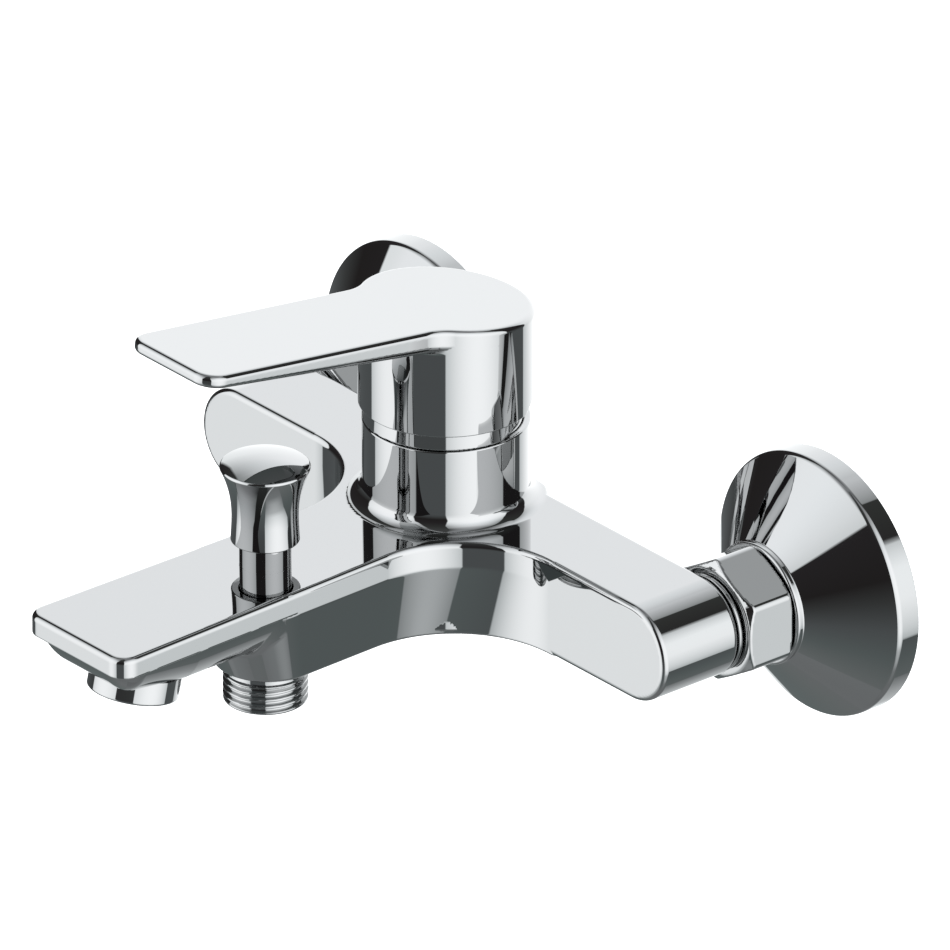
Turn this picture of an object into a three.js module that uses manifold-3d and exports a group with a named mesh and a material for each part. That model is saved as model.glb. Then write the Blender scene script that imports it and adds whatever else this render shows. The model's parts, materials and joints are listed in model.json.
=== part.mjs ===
// Wall mounted single lever bath mixer with a pull-up shower diverter.
// Millimetres, +Z up. The wall is the plane y = 0 and the room is on its -Y side.
// The origin lies on the wall, midway between the two inlets.
import * as THREE from "three";
import { mergeVertices } from "three/addons/utils/BufferGeometryUtils.js";
import Module from "manifold-3d";

const wasm = await Module();
wasm.setup();

// ---------------------------------------------------------------- driving dimensions
const GAP = 0.3; // clearance between touching pieces
const ROUND = 32; // facets round the visible turned pieces
const FINE = 16; // facets round the small or hidden ones
const DEGREE = Math.PI / 180;

const INLET_X = 75; // half of the 150 mm inlet spacing
const ARM_R = 12.7; // half height of the arms, and radius of their round ends
const ARM_BACK = 39.1; // distances of the arms' faces from the wall
const ARM_FRONT = 63.1;
const ARM_EDGE = 1;

const SPOUT_REACH = 176; // wall to the spout's front edge
const SPOUT_ROOT_W = 16.8; // half widths at the root and the tip
const SPOUT_TIP_W = 18.65;
const SPOUT_CORNER_R = 5;
const SPOUT_FILLET_R = 27.5; // plan fillet between spout and arm
const SPOUT_DROP = 0.95; // fall of the top from root to tip
const SLAB_T = 5.9; // upright edge band of the spout
const HULL_DRAFT_Z = 6.5; // the sides slope inwards below this level
const HULL_DRAFT = 4.2;
const HULL_Z = -14.1;
const SHALLOW_Z = -4.4; // underside between the shower outlet and the aerator

const TOWER_Y = -58.3; // axis of the tower, the cartridge and the handle
const TOWER_R = 20.6;
const TOWER_TOP = 34;
const TOWER_FILLET = 4.1;
const TOWER_BACK = 21.6; // flat on the back of the tower's foot, from its axis

const PIVOT_Z = 34.3; // lever hinge, on the seam between tower and handle
const LIFT_MAX = 25 * DEGREE;
const HUB_R = 21.6;
const HUB_STEP_Z = 38.4; // the hub is as wide as the tower below this level
const HUB_BORE_R = 19.2;
const HUB_TOP = 65.5; // top plane at the tower axis
const HANDLE_RISE = Math.tan(7.84 * DEGREE); // slope of the handle's top towards its tip
const LEVER_REACH = 87.7; // tower axis to the upper edge of the lever's tip
const LEVER_W = 15.8;
const LEVER_TIP_T = 3.3;
const LEVER_ROOT_T = 7;
const LEVER_FILLET_R = 12.5;
const LEVER_CORNER_R = 5.5;
const BOSS_R = 6.8;
const SCREW_Z = 53; // axis of the grub screw that clamps the handle on the stem
const SCREW_R = 2.2;
const CAP_R = 2.5;

const CART_R = 17.2; // 35 mm ceramic cartridge
const SEAT_Z = 5;
const PORTS = { hot: [-7.5, 4], cold: [7.5, 4], mixed: [0, -8.5] };
const PORT_R = 3.4;
const DISC_SHIFT = 2.6; // the moving disc's offset with the lever down
const BALL_Z = 22.2; // centre of the stem's round lower end
const DOME_R = 18;
const DOME_T = 1.6;
const DOME_MOUTH = 54 * DEGREE;

const DIVERTER_Y = -115.5; // common axis of the knob, the diverter and the shower outlet
const BOSS_OUT_R = 12;
const BOSS_Z = -14.2;
const CHAMBER_R = 8.6;
const SLEEVE_R = 6.37;
const SLEEVE_TOP = 31.5;
const KNOB_BASE = 18.8;
const KNOB_RIM = 38.8;
const KNOB_RIM_R = 11.2;
const KNOB_WAIST_R = 8.25;
const ROD_R = 2.5;
const NIPPLE_R = 10.48; // G1/2
const NIPPLE_Z = -24.2;
const NIPPLE_TOP = -10.3;
const NIPPLE_BORE = 7.2;

const AERATOR = { y: -157.3, z: -8.77, tilt: 12.1 * DEGREE, r: 11.36, band: 6.2 };

const PLATE_R = 33.8; // escutcheon
const PLATE_RIM = 6.1;
const PLATE_WALL = 1.5;
const COLLAR_R = 15.6;
const COLLAR_Y = 21.2;
const COLLAR_END = 23;
const UNION_R = 12; // G3/4 thread, at its root
const TAIL_R = 10.3; // G1/2 thread, at its crest
const TAIL_OUT = 15; // reach of the tail into the wall
const TAIL_OFFSET = 6.5; // throw of the eccentric union
const NUT = { back: 23.35, front: 37.2, flats: 28.5, chamferR: 13.9, chamfer: 1.6 };

// ---------------------------------------------------------------- finishes
const FINISH = {
  chrome: [0xd9dde1, 0.06, 1],
  brass: [0xb8975a, 0.35, 1],
  steel: [0xb9bcbf, 0.3, 1],
  ceramic: [0xf1efe8, 0.25, 0],
  plastic: [0xe4e4e0, 0.45, 0],
  darkPlastic: [0x4a4d50, 0.5, 0],
  rubber: [0x1c1c1d, 0.8, 0],
};

// ---------------------------------------------------------------- solids
function solid(geometry) {
  const bare = geometry.clone();
  bare.deleteAttribute("normal");
  bare.deleteAttribute("uv");
  const merged = mergeVertices(bare, 1e-4);
  const triangles = [];
  const index = merged.index.array;
  for (let i = 0; i < index.length; i += 3) {
    const [a, b, c] = index.slice(i, i + 3);
    if (a !== b && b !== c && c !== a) triangles.push(a, b, c);
  }
  const build = () =>
    new wasm.Manifold(
      new wasm.Mesh({
        numProp: 3,
        vertProperties: new Float32Array(merged.attributes.position.array),
        triVerts: new Uint32Array(triangles),
      }),
    );
  const made = build();
  if (made.volume() > 0) return made;
  triangles.reverse();
  return build();
}

const join = (first, ...rest) => rest.reduce((all, one) => all.add(one), first);
const cut = (first, ...rest) => rest.reduce((left, one) => left.subtract(one), first);

// A solid turned about the Z axis through (x, y), from [radius, z] points.
function turned(profile, { x = 0, y = 0, facets = ROUND } = {}) {
  const points = profile.map(([r, z]) => new THREE.Vector2(r, z));
  const onAxis = profile[0][0] === 0 && profile.at(-1)[0] === 0;
  if (!onAxis) points.push(points[0].clone());
  return solid(new THREE.LatheGeometry(points, facets).rotateX(Math.PI / 2).translate(x, y, 0));
}

function rod(r, low, high, place = {}) {
  return turned([[0, low], [r, low], [r, high], [0, high]], place);
}

function ring(inner, outer, low, high, place = {}) {
  return turned([[inner, low], [outer, low], [outer, high], [inner, high]], place);
}

// A rod between two levels along X or Y, through the point given by the other two coordinates.
function rodAlongX(r, low, high, y, z, facets = FINE) {
  const bar = new THREE.CylinderGeometry(r, r, high - low, facets).rotateZ(Math.PI / 2);
  return solid(bar.translate((low + high) / 2, y, z));
}

function rodAlongY(r, low, high, x, z, facets = FINE) {
  const bar = new THREE.CylinderGeometry(r, r, high - low, facets);
  return solid(bar.translate(x, (low + high) / 2, z));
}

function block([x0, y0, z0], [x1, y1, z1]) {
  const box = new THREE.BoxGeometry(x1 - x0, y1 - y0, z1 - z0);
  return solid(box.translate((x0 + x1) / 2, (y0 + y1) / 2, (z0 + z1) / 2));
}

function shapeOf(points) {
  return new THREE.Shape(points.map(([x, y]) => new THREE.Vector2(x, y)));
}

// A YZ outline swept along X over the whole width.
function sideCut(points, halfWidth) {
  const slab = new THREE.ExtrudeGeometry(shapeOf(points), {
    depth: 2 * halfWidth,
    bevelEnabled: false,
  });
  slab.translate(0, 0, -halfWidth);
  const basis = new THREE.Matrix4().makeBasis(
    new THREE.Vector3(0, 1, 0),
    new THREE.Vector3(0, 0, 1),
    new THREE.Vector3(1, 0, 0),
  );
  return solid(slab.applyMatrix4(basis));
}

// A quarter round as [radius, z] points about the centre (r, z).
function arc(r, z, radius, from, to, steps = 5) {
  return Array.from({ length: steps + 1 }, (_, i) => {
    const angle = (from + ((to - from) * i) / steps) * DEGREE;
    return [r + radius * Math.cos(angle), z + radius * Math.sin(angle)];
  });
}

function circle(r, count) {
  return shapeOf(
    Array.from({ length: count }, (_, i) => {
      const angle = (2 * Math.PI * i) / count;
      return [r * Math.cos(angle), r * Math.sin(angle)];
    }),
  );
}

class Helix extends THREE.Curve {
  constructor(radius, low, high, turns) {
    super();
    Object.assign(this, { radius, low, high, turns });
  }
  getPoint(t, target = new THREE.Vector3()) {
    const angle = 2 * Math.PI * this.turns * t;
    const level = this.low + (this.high - this.low) * t;
    return target.set(this.radius * Math.cos(angle), this.radius * Math.sin(angle), level);
  }
}

function coilSpring(radius, wire, low, high, turns) {
  return solid(
    new THREE.ExtrudeGeometry(circle(wire / 2, 5), {
      steps: turns * 9,
      extrudePath: new Helix(radius, low + wire / 2, high - wire / 2, turns),
    }),
  );
}

// ---------------------------------------------------------------- body casting
function armsBar() {
  const profile = new THREE.Shape();
  profile.absarc(INLET_X, 0, ARM_R, -Math.PI / 2, Math.PI / 2, false);
  profile.absarc(-INLET_X, 0, ARM_R, Math.PI / 2, 1.5 * Math.PI, false);
  const bar = new THREE.ExtrudeGeometry(profile, {
    depth: ARM_FRONT - ARM_BACK - 2 * ARM_EDGE,
    bevelThickness: ARM_EDGE,
    bevelSize: ARM_EDGE,
    bevelOffset: -ARM_EDGE,
    bevelSegments: 2,
    curveSegments: 12,
  });
  return solid(bar.translate(0, 0, ARM_BACK + ARM_EDGE).rotateX(Math.PI / 2));
}

// Plan of the spout with the two concave fillets that lead into the arms.
function spoutPlan() {
  const filletX = SPOUT_ROOT_W + SPOUT_FILLET_R;
  const filletY = -ARM_FRONT - SPOUT_FILLET_R;
  const insideArms = -(ARM_BACK + ARM_FRONT) / 2;
  const cornerX = SPOUT_TIP_W - SPOUT_CORNER_R;
  const cornerY = -SPOUT_REACH + SPOUT_CORNER_R;
  const plan = new THREE.Shape();
  plan.moveTo(filletX, insideArms);
  plan.lineTo(-filletX, insideArms);
  plan.absarc(-filletX, filletY, SPOUT_FILLET_R, Math.PI / 2, 0, true);
  plan.absarc(-cornerX, cornerY, SPOUT_CORNER_R, Math.PI, 1.5 * Math.PI, false);
  plan.absarc(cornerX, cornerY, SPOUT_CORNER_R, 1.5 * Math.PI, 2 * Math.PI, false);
  plan.absarc(filletX, filletY, SPOUT_FILLET_R, Math.PI, Math.PI / 2, true);
  return plan;
}

// The spout: its sides are upright in the edge band and slope inwards below it.
function spout() {
  const depthBelow = HULL_DRAFT_Z - HULL_Z;
  const hull = new THREE.ExtrudeGeometry(spoutPlan(), {
    depth: ARM_R - HULL_DRAFT_Z + 1,
    bevelThickness: depthBelow,
    bevelSize: HULL_DRAFT,
    bevelOffset: -HULL_DRAFT,
    bevelSegments: 1,
    curveSegments: 10,
  });
  const tipTop = ARM_R - SPOUT_DROP;
  const sides = sideCut(
    [
      [-45, ARM_R],
      [-66, ARM_R],
      [-SPOUT_REACH - 1, tipTop],
      [-SPOUT_REACH - 1, tipTop - SLAB_T],
      [-172.5, 3.6],
      [-165.5, -2.6],
      [-160, SHALLOW_Z + 0.3],
      [-154, SHALLOW_Z],
      [-120, SHALLOW_Z],
      [-117, HULL_Z],
      [-45, HULL_Z + 1.4],
    ],
    60,
  );
  return solid(hull.translate(0, 0, HULL_DRAFT_Z)).intersect(sides);
}

function tower() {
  const foot = ARM_R + TOWER_FILLET;
  const column = turned(
    [
      [0, HULL_Z + 1],
      [TOWER_R + 1, HULL_Z + 1],
      [TOWER_R + 1, 6],
      [TOWER_R + TOWER_FILLET, 8],
      ...arc(TOWER_R + TOWER_FILLET, foot, TOWER_FILLET, 270, 180, 4),
      [TOWER_R, TOWER_TOP - 0.4],
      [TOWER_R - 0.4, TOWER_TOP],
      [0, TOWER_TOP],
    ],
    { y: TOWER_Y },
  );
  const half = TOWER_R + TOWER_FILLET + 1;
  return column.intersect(
    block([-half, TOWER_Y - half, HULL_Z], [half, TOWER_Y + TOWER_BACK, TOWER_TOP + 1]),
  );
}

// Hot or cold way: inlet bore at the arm's end, channel along the arm, port up to the cartridge.
function inletWay(side) {
  const [portX, portY] = side < 0 ? PORTS.hot : PORTS.cold;
  const channelY = -(ARM_BACK + ARM_FRONT) / 2;
  const span = [portX, side * (INLET_X + 4)].sort((a, b) => a - b);
  return join(
    rodAlongY(9.2, -ARM_BACK - 14, -ARM_BACK + 1, side * INLET_X, 0),
    rodAlongX(5.5, span[0], span[1], channelY, -3),
    rod(PORT_R, -3, SEAT_Z + 1, { x: portX, y: TOWER_Y + portY, facets: FINE }),
  );
}

// Mixed water: from the cartridge down, forward to the diverter, then on to the aerator.
function outletWay() {
  const [portX, portY] = PORTS.mixed;
  const aerator = new THREE.CylinderGeometry(10.6, 10.6, 8, FINE).translate(0, 8, 0);
  const ringRoom = new THREE.CylinderGeometry(
    AERATOR.r + GAP,
    AERATOR.r + GAP,
    12,
    ROUND,
  ).translate(0, AERATOR.band + GAP - 6, 0);
  const riser = new THREE.CylinderGeometry(6.5, 6.5, 6, FINE).translate(0, 13.5, 0);
  const placed = (geometry) =>
    solid(geometry.rotateX(Math.PI / 2 - AERATOR.tilt).translate(0, AERATOR.y, AERATOR.z));
  return join(
    rod(4.4, -3, SEAT_Z + 1, { x: portX, y: TOWER_Y + portY, facets: FINE }),
    rodAlongY(5.4, DIVERTER_Y, TOWER_Y + portY + 3, 0, -3),
    rod(CHAMBER_R, NIPPLE_TOP + 1, SEAT_Z, { y: DIVERTER_Y, facets: FINE }),
    rod(9.9, BOSS_Z - 1, NIPPLE_TOP + GAP, { y: DIVERTER_Y, facets: FINE }),
    rod(CHAMBER_R, NIPPLE_TOP, NIPPLE_TOP + 2, { y: DIVERTER_Y, facets: FINE }),
    rod(7.5, SEAT_Z - 1, 8.8, { y: DIVERTER_Y, facets: FINE }),
    rod(SLEEVE_R + GAP, 8, ARM_R + 1, { y: DIVERTER_Y }),
    block([-8, -158, 5.2], [8, DIVERTER_Y - 3, 8.6]),
    placed(aerator),
    placed(ringRoom),
    placed(riser),
  );
}

function bodyCasting() {
  const outside = join(
    armsBar(),
    spout(),
    tower(),
    rod(BOSS_OUT_R, BOSS_Z, SHALLOW_Z + 4, { y: DIVERTER_Y }),
  );
  const cartridgeBore = turned(
    [
      [0, SEAT_Z],
      [CART_R + 0.4, SEAT_Z],
      [CART_R + 0.4, 29.5],
      [18.9, 30],
      [18.9, TOWER_TOP + 1],
      [0, TOWER_TOP + 1],
    ],
    { y: TOWER_Y },
  );
  return cut(outside, cartridgeBore, inletWay(-1), inletWay(1), outletWay());
}

// ---------------------------------------------------------------- cartridge, about the tower axis
function portHoles(r, low, high) {
  return Object.values(PORTS).map(([x, y]) => rod(r, low, high, { x, y, facets: FINE }));
}

function cartridgeBase() {
  const seats = Object.values(PORTS).map(([x, y]) => rod(5.6, 6, 7.5, { x, y, facets: FINE }));
  return cut(rod(CART_R, 6.2, 11.2), ...seats, ...portHoles(PORT_R, 5, 12));
}

function portSeal([x, y]) {
  return ring(PORT_R + 0.2, 5.3, SEAT_Z + GAP, 7.2, { x, y, facets: FINE });
}

function cartridgeHousing() {
  return turned(
    [
      [15.4, 11.5],
      [CART_R, 11.5],
      [CART_R, 30],
      [13, 30],
      [13, 35.8],
      [11.1, 35.8],
      [11.1, 28],
      [15.4, 28],
    ],
    { facets: 24 },
  );
}

function fixedDisc() {
  return cut(rod(14.2, 11.5 + GAP, 14.5), ...portHoles(3.2, 11, 15));
}

function movingDisc() {
  const mixingRecess = rod(7.8, 14, 16.4, { y: -1.5, facets: FINE });
  return rod(11.6, 14.8, 17.8).subtract(mixingRecess);
}

function discCarrier() {
  const pocket = block([-3.7, -DISC_SHIFT - 3.25, 19], [3.7, -DISC_SHIFT + 3.25, 24]);
  return cut(rod(11.6, 18.1, 23), pocket);
}

function rotor() {
  const blank = turned(
    [
      [0, 23.3],
      [14.9, 23.3],
      [14.9, 27.7],
      [10.8, 27.7],
      [10.8, 41],
      [0, 41],
    ],
    { facets: 24 },
  );
  return cut(blank, block([-4.35, -8.6, 20], [4.35, 8.2, 45]), rodAlongX(1.8, -12, 12, 0, PIVOT_Z));
}

function leverStem() {
  const body = join(
    block([-4, -4, 29], [4, 4, 56.3]),
    block([-3.3, -2.3, BALL_Z], [3.3, 2.3, 30]),
    rodAlongX(2.9, -3.3, 3.3, 0, BALL_Z),
  );
  return body.subtract(rodAlongX(1.8, -5, 5, 0, PIVOT_Z));
}

function retainingNut() {
  return turned(
    [
      [13.4, 30.3],
      [18.6, 30.3],
      [18.6, TOWER_TOP],
      [15.6, TOWER_TOP],
      [15.6, 38],
      [13.4, 38],
    ],
    { facets: 24 },
  );
}

// Spherical cover centred on the lever's pivot, so the handle can tilt round it.
function domeCover() {
  const mouth = 90 - DOME_MOUTH / DEGREE;
  const outer = arc(0, PIVOT_Z, DOME_R, 1, mouth, 4);
  const inner = arc(0, PIVOT_Z, DOME_R - DOME_T, mouth, 1.2, 4);
  return turned([...outer, ...inner], { facets: 24 });
}

// ---------------------------------------------------------------- handle, about the tower axis
function hubSolid() {
  const back = HUB_R + 1;
  const clear = Math.tan(LIFT_MAX + 0.8 * DEGREE);
  const side = sideCut(
    [
      [-back, TOWER_TOP + GAP + 0.1],
      [0.6, TOWER_TOP + GAP + 0.1],
      [back, TOWER_TOP + GAP + 0.1 + (back - 0.6) * clear],
      [back, HUB_TOP - back * HANDLE_RISE],
      [-back, HUB_TOP + back * HANDLE_RISE],
    ],
    back,
  );
  return join(rod(TOWER_R, 30, HUB_STEP_Z), rod(HUB_R, HUB_STEP_Z, 75)).intersect(side);
}

function leverSolid() {
  const filletX = LEVER_W + LEVER_FILLET_R;
  const reach = HUB_R + LEVER_FILLET_R;
  const filletY = -Math.sqrt(reach * reach - filletX * filletX);
  const hubAngle = Math.atan2(-filletY, filletX);
  const cornerX = LEVER_W - LEVER_CORNER_R;
  const lean = LEVER_TIP_T * HANDLE_RISE; // the tip's face is square to the sloping top
  const cornerY = LEVER_CORNER_R - LEVER_REACH - lean;
  const plan = new THREE.Shape();
  plan.moveTo(12, -6);
  plan.lineTo(-12, -6);
  plan.absarc(-filletX, filletY, LEVER_FILLET_R, hubAngle, 0, true);
  plan.absarc(-cornerX, cornerY, LEVER_CORNER_R, Math.PI, 1.5 * Math.PI, false);
  plan.absarc(cornerX, cornerY, LEVER_CORNER_R, 1.5 * Math.PI, 2 * Math.PI, false);
  plan.absarc(filletX, filletY, LEVER_FILLET_R, Math.PI, Math.PI - hubAngle, true);
  const plate = new THREE.ExtrudeGeometry(plan, { depth: 30, bevelEnabled: false, curveSegments: 10 });
  const top = (y) => HUB_TOP - y * HANDLE_RISE;
  const side = sideCut(
    [
      [-LEVER_REACH - lean, top(-LEVER_REACH) - LEVER_TIP_T],
      [-5, top(-5) - LEVER_ROOT_T],
      [-5, top(-5)],
      [-LEVER_REACH, top(-LEVER_REACH)],
    ],
    HUB_R + 1,
  );
  return solid(plate.translate(0, 0, 52)).intersect(side);
}

function handle() {
  const roof = HUB_TOP - 5.5;
  const cavity = rod(HUB_BORE_R, 30, roof);
  const boss = join(
    rod(BOSS_R, 47.6, roof + 1, { facets: FINE }),
    block([-4.5, 0, SCREW_Z - 2.7], [4.5, 11, roof + 1]),
  );
  const socket = block([-4.3, -4.3, 40], [4.3, 4.3, 56.6]);
  const screwWay = join(
    rodAlongY(SCREW_R + GAP, 0, 12, 0, SCREW_Z),
    rodAlongY(CAP_R + GAP, 18, 24, 0, SCREW_Z),
  );
  return cut(join(cut(join(hubSolid(), leverSolid()), cavity), boss), socket, screwWay);
}

// ---------------------------------------------------------------- diverter, about its own axis
function knob() {
  const flare = 11.2 - KNOB_WAIST_R;
  const side = Array.from({ length: 5 }, (_, i) => {
    const t = i / 4;
    return [KNOB_WAIST_R + flare * t ** 3, 25.5 + (KNOB_RIM - 0.6 - 25.5) * t];
  });
  const dome = [
    [KNOB_RIM_R - 0.3, KNOB_RIM + 0.1],
    [8.2, KNOB_RIM + 1.1],
    [4.2, KNOB_RIM + 1.8],
    [0, KNOB_RIM + 2],
  ];
  return turned([
    [0, 36.5],
    [ROD_R + GAP, 36.5],
    [ROD_R + GAP, 33.5],
    [SLEEVE_R + GAP, 33.5],
    [SLEEVE_R + GAP, KNOB_BASE],
    [KNOB_WAIST_R + 0.2, KNOB_BASE],
    ...side,
    [KNOB_RIM_R, KNOB_RIM - 0.3],
    ...dome,
  ]);
}

function diverterSleeve() {
  return turned(
    [
      [5, 7.2],
      [SLEEVE_R, 7.2],
      [SLEEVE_R, SLEEVE_TOP],
      [ROD_R + GAP, SLEEVE_TOP],
      [ROD_R + GAP, 28],
      [5, 28],
    ],
    { facets: 24 },
  );
}

function diverterRod() {
  return turned(
    [
      [0, -9.7],
      [ROD_R, -9.7],
      [ROD_R, -8.2],
      [7, -8.2],
      [7, -7.2],
      [ROD_R, -7.2],
      [ROD_R, 12],
      [4.6, 12],
      [4.6, 13],
      [ROD_R, 13],
      [ROD_R, 36.2],
      [0, 36.2],
    ],
    { facets: FINE },
  );
}

// Threaded shower outlet: a plain neck under the boss, then four ridges of thread.
function showerOutlet() {
  const ridges = [];
  const pitch = 1.81;
  for (let i = 0; i < 4; i += 1) {
    const low = NIPPLE_Z + 0.5 + i * pitch;
    ridges.push([NIPPLE_R, low + 0.3], [NIPPLE_R - 0.9, low + pitch / 2 + 0.3]);
  }
  return turned([
    [NIPPLE_BORE, NIPPLE_Z],
    [NIPPLE_R - 0.5, NIPPLE_Z],
    ...ridges,
    [NIPPLE_R - 0.6, BOSS_Z - 2.2],
    [NIPPLE_R - 0.6, BOSS_Z - GAP],
    [9.6, BOSS_Z - GAP],
    [9.6, NIPPLE_TOP],
    [5, NIPPLE_TOP],
    [5, NIPPLE_TOP - 0.7],
    [NIPPLE_BORE, NIPPLE_TOP - 0.7],
  ]);
}

function checkValveCage() {
  const shell = turned(
    [
      [1.3, -19.6],
      [6.9, -19.6],
      [6.9, -11.3],
      [3.4, -11.3],
      [3.4, -12.3],
      [5.6, -12.3],
      [5.6, -18.6],
      [1.3, -18.6],
    ],
    { facets: FINE },
  );
  const slots = Array.from({ length: 4 }, (_, i) => {
    const angle = i * 90 * DEGREE;
    return rod(1.2, -21, -18, { x: 3.9 * Math.cos(angle), y: 3.9 * Math.sin(angle), facets: 12 });
  });
  return cut(shell, ...slots);
}

function checkPoppet() {
  const profile = [[0, -18.9], [1, -18.9], [1, -13.7], [4.6, -13.7], [4.6, -12.6], [0, -12.6]];
  return turned(profile, { facets: FINE });
}

// ---------------------------------------------------------------- aerator, about its tilted axis
function aeratorHousing() {
  const { r, band } = AERATOR;
  return turned([
    [8.6, 0],
    [r - 0.5, 0],
    [r, 0.5],
    [r, band],
    [10.3, band],
    [10.3, 11.5],
    [9.3, 11.5],
    [9.3, 1.2],
    [8.6, 1.2],
  ]);
}

function aeratorInsert() {
  const holes = [0, 1, 2].flatMap((row) => {
    const count = row ? 6 * row : 1;
    return Array.from({ length: count }, (_, i) => {
      const angle = (2 * Math.PI * i) / count;
      const place = { x: 3 * row * Math.cos(angle), y: 3 * row * Math.sin(angle), facets: 6 };
      return rod(1.15, 0, 12, place);
    });
  });
  return cut(rod(9, 1.5, 9.5, { facets: FINE }), ...holes);
}

// ---------------------------------------------------------------- wall union, z away from the wall
function escutcheon() {
  const slope = new THREE.Vector2(PLATE_R - 1.3 - COLLAR_R, COLLAR_Y - PLATE_RIM).normalize();
  const inset = [-slope.y * PLATE_WALL, -slope.x * PLATE_WALL];
  return turned([
    [PLATE_R, 0],
    [PLATE_R, PLATE_RIM - 1.3],
    [PLATE_R - 0.4, PLATE_RIM - 0.4],
    [PLATE_R - 1.3, PLATE_RIM],
    [COLLAR_R, COLLAR_Y],
    [COLLAR_R - 1.2, COLLAR_END],
    [UNION_R + GAP, COLLAR_END],
    [UNION_R + GAP, COLLAR_Y + inset[1]],
    [COLLAR_R + inset[0], COLLAR_Y + inset[1]],
    [PLATE_R - 1.3 + inset[0], PLATE_RIM + inset[1]],
    [PLATE_R - PLATE_WALL, PLATE_RIM + inset[1] - 0.6],
    [PLATE_R - PLATE_WALL, 0],
  ]);
}

function eccentricUnion() {
  const front = rod(UNION_R, 4, 27.7, { facets: 24 });
  const tail = rod(TAIL_R, -TAIL_OUT, 10, { y: -TAIL_OFFSET, facets: 24 });
  const bores = [
    rod(8.5, 8, 29, { facets: FINE }),
    rod(7, -TAIL_OUT - 1, 11, { y: -TAIL_OFFSET, facets: FINE }),
  ];
  return cut(join(front, tail), ...bores);
}

function unionNut() {
  const { back, front, flats, chamferR, chamfer } = NUT;
  const corner = flats / 2 / Math.cos(30 * DEGREE);
  const hex = new THREE.CylinderGeometry(corner, corner, front - back, 6);
  hex.rotateX(Math.PI / 2).translate(0, 0, (front + back) / 2);
  const trim = turned([
    [0, back],
    [flats / 2, back],
    [corner + 0.1, back + 1],
    [corner + 0.1, front - chamfer],
    [chamferR, front],
    [0, front],
  ]);
  const bore = turned(
    [
      [0, back - 1],
      [UNION_R + GAP, back - 1],
      [UNION_R + GAP, 33.3],
      [10.5, 33.3],
      [10.5, front + 1],
      [0, front + 1],
    ],
    { facets: 20 },
  );
  return cut(solid(hex).intersect(trim), bore);
}

function inletBush() {
  return turned(
    [
      [7, 30],
      [11.8, 30],
      [11.8, 33],
      [10.2, 33],
      [10.2, ARM_BACK - GAP],
      [8.9, ARM_BACK - GAP],
      [8.9, ARM_BACK + 13.5],
      [7, ARM_BACK + 13.5],
    ],
    { facets: FINE },
  );
}

// ---------------------------------------------------------------- scene graph
function mesh(name, made, finish) {
  const data = made.getMesh();
  const geometry = new THREE.BufferGeometry();
  geometry.setAttribute("position", new THREE.BufferAttribute(new Float32Array(data.vertProperties), 3));
  geometry.setIndex(new THREE.BufferAttribute(new Uint32Array(data.triVerts), 1));
  geometry.computeVertexNormals();
  const [color, roughness, metalness] = FINISH[finish];
  const piece = new THREE.Mesh(
    geometry,
    new THREE.MeshStandardMaterial({ color, roughness, metalness }),
  );
  piece.name = name;
  return piece;
}

function group(position, ...pieces) {
  const holder = new THREE.Group();
  holder.position.set(...position);
  holder.add(...pieces);
  return holder;
}

function cartridgeGroup() {
  const seals = Object.entries(PORTS).map(([way, place]) =>
    mesh(`${way}_port_seal`, portSeal(place), "rubber"),
  );
  const sliding = group(
    [0, DISC_SHIFT, 0],
    mesh("moving_ceramic_disc", movingDisc(), "ceramic"),
    mesh("disc_carrier", discCarrier(), "plastic"),
  );
  return group(
    [0, TOWER_Y, 0],
    mesh("cartridge_base", cartridgeBase(), "plastic"),
    mesh("cartridge_housing", cartridgeHousing(), "plastic"),
    mesh("fixed_ceramic_disc", fixedDisc(), "ceramic"),
    mesh("cartridge_rotor", rotor(), "plastic"),
    mesh("lever_pivot_pin", rodAlongX(1.5, -10.4, 10.4, 0, PIVOT_Z), "steel"),
    mesh("lever_stem", leverStem(), "brass"),
    mesh("cartridge_retaining_nut", retainingNut(), "chrome"),
    mesh("dome_cover", domeCover(), "chrome"),
    sliding,
    ...seals,
  );
}

function handleGroup() {
  return group(
    [0, TOWER_Y, 0],
    mesh("handle", handle(), "chrome"),
    mesh("handle_grub_screw", rodAlongY(SCREW_R, 4.4, 9.8, 0, SCREW_Z), "steel"),
    mesh("grub_screw_cap", rodAlongY(CAP_R, 19.6, 21.3, 0, SCREW_Z), "darkPlastic"),
  );
}

function diverterGroup() {
  const sealPlace = { facets: FINE };
  return group(
    [0, DIVERTER_Y, 0],
    mesh("diverter_knob", knob(), "chrome"),
    mesh("diverter_sleeve", diverterSleeve(), "chrome"),
    mesh("diverter_rod", diverterRod(), "brass"),
    mesh("diverter_spring", coilSpring(3.9, 0.8, 13.3, 27.7, 6), "steel"),
    mesh("diverter_rod_seal", ring(ROD_R + GAP, 4.7, 7.5, 9.5, sealPlace), "rubber"),
    mesh("diverter_lower_seal", ring(ROD_R + GAP, 7, -10, -8.5, sealPlace), "rubber"),
    mesh("diverter_upper_seal", ring(ROD_R + GAP, 7, -6.9, -5.4, sealPlace), "rubber"),
    mesh("diverter_seat_ring", ring(5.2, CHAMBER_R - GAP, 2.9, 4.7, sealPlace), "brass"),
    mesh("shower_outlet", showerOutlet(), "chrome"),
    mesh("check_valve_cage", checkValveCage(), "plastic"),
    mesh("check_valve_poppet", checkPoppet(), "plastic"),
    mesh("check_valve_spring", coilSpring(2.2, 0.5, -18.3, -14, 3), "steel"),
  );
}

function aeratorGroup() {
  const holder = group(
    [0, AERATOR.y, AERATOR.z],
    mesh("aerator_housing", aeratorHousing(), "chrome"),
    mesh("aerator_insert", aeratorInsert(), "plastic"),
    mesh("aerator_washer", ring(6.5, 9, 9.8, 11.3, { facets: FINE }), "rubber"),
  );
  holder.rotation.x = -AERATOR.tilt;
  return holder;
}

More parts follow.
